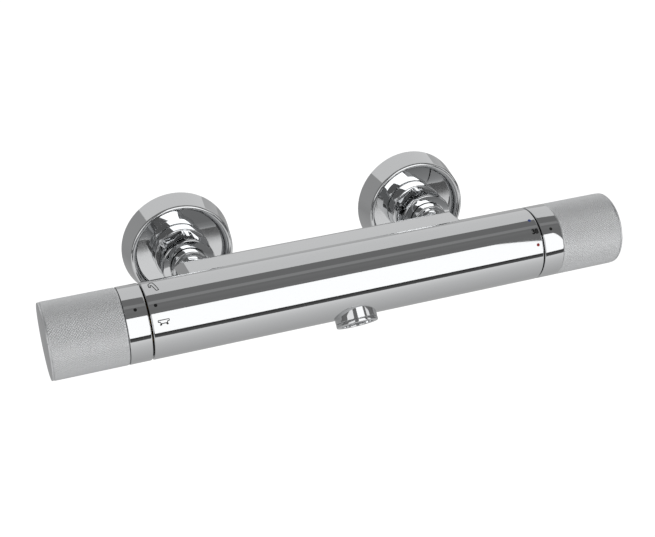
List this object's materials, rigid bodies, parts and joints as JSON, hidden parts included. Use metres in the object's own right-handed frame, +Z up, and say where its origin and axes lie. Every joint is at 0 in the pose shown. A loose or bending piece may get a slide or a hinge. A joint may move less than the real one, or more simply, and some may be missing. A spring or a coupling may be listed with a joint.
{
  "type": "mixer tap",
  "caption": "Wall-mounted thermostatic bar mixer with a knurled grip at each end, a short tilted bath spout, a hand-shower outlet, union nuts and dished wall rosettes.",
  "frame": {"origin": "on the wall plane, midway between the two inlets", "axes": "+X along the bar towards the temperature grip, +Y back into the wall, +Z up"},
  "size_m": [0.3318, 0.1283, 0.0664],
  "materials": {
    "polished_chrome": "mirror-polished chrome on brass",
    "knurled_chrome": "satin chrome with a fine knurl",
    "bare_brass": "machined brass",
    "black_rubber": "smooth rubber",
    "grey_plastic": "moulded plastic",
    "white_plastic": "moulded plastic",
    "stainless_steel": "bright steel wire and turned steel",
    "white_ceramic": "lapped ceramic"
  },
  "bodies": {
    "base": {"mixer_body": "polished_chrome", "aerator_housing": "polished_chrome", "aerator_insert": "grey_plastic", "aerator_washer": "black_rubber", "hose_nipple": "polished_chrome", "hose_nipple_o_ring": "black_rubber", "hot_inlet_tail": "polished_chrome", "cold_inlet_tail": "polished_chrome", "hot_union_nut": "polished_chrome", "cold_union_nut": "polished_chrome", "hot_inlet_filter": "black_rubber", "cold_inlet_filter": "black_rubber", "hot_s_union": "polished_chrome", "cold_s_union": "polished_chrome", "hot_rosette": "polished_chrome", "cold_rosette": "polished_chrome", "hot_check_valve": "white_plastic", "cold_check_valve": "white_plastic", "hot_check_spring": "stainless_steel", "cold_check_spring": "stainless_steel", "thermostat_housing": "bare_brass", "thermostat_o_rings": "black_rubber", "thermostat_stop_ring": "white_plastic", "thermostat_spring": "stainless_steel", "diverter_housing": "bare_brass", "diverter_o_ring": "black_rubber", "diverter_lock_nut": "bare_brass", "diverter_stop_ring": "white_plastic", "diverter_seal": "black_rubber", "fixed_ceramic_disc": "white_ceramic"},
    "flow_handle": {"flow_collar": "polished_chrome", "flow_grip": "knurled_chrome", "flow_core": "grey_plastic", "flow_cap": "polished_chrome", "flow_screw": "stainless_steel", "flow_spindle": "bare_brass", "moving_ceramic_disc": "white_ceramic"},
    "temperature_handle": {"temperature_collar": "polished_chrome", "temperature_grip": "knurled_chrome", "temperature_core": "grey_plastic", "temperature_cap": "polished_chrome", "temperature_screw": "stainless_steel", "temperature_spindle": "bare_brass"},
    "thermostat_carriage": {"adjusting_nut": "bare_brass", "wax_element": "bare_brass", "thermostat_shuttle": "white_plastic"},
    "hot_poppet": {"hot_check_poppet": "grey_plastic"},
    "cold_poppet": {"cold_check_poppet": "grey_plastic"}
  },
  "joints": [
    {"name": "flow_turn", "type": "hinge", "parent": "base", "child": "flow_handle", "pos_m": [-0.14, -0.088, 0], "axis": [1, 0, 0], "range_deg": [-75, 75]},
    {"name": "temperature_turn", "type": "hinge", "parent": "base", "child": "temperature_handle", "pos_m": [0.14, -0.088, 0], "axis": [1, 0, 0], "range_deg": [-200, 60]},
    {"name": "thermostat_slide", "type": "slide", "parent": "base", "child": "thermostat_carriage", "axis": [1, 0, 0], "range_m": [-0.00125, 0.0005], "deforming": ["thermostat_spring"]},
    {"name": "hot_check_slide", "type": "slide", "parent": "base", "child": "hot_poppet", "axis": [0, -1, 0], "range_m": [0, 0.0025], "stiffness_N_per_m": 20, "springref_m": -0.001, "deforming": ["hot_check_spring"]},
    {"name": "cold_check_slide", "type": "slide", "parent": "base", "child": "cold_poppet", "axis": [0, -1, 0], "range_m": [0, 0.0025], "stiffness_N_per_m": 20, "springref_m": -0.001, "deforming": ["cold_check_spring"]}
  ],
  "couplings": [
    {"joint": "thermostat_slide", "follows": "temperature_turn", "m_per_rad": 0.0003183}
  ]
}
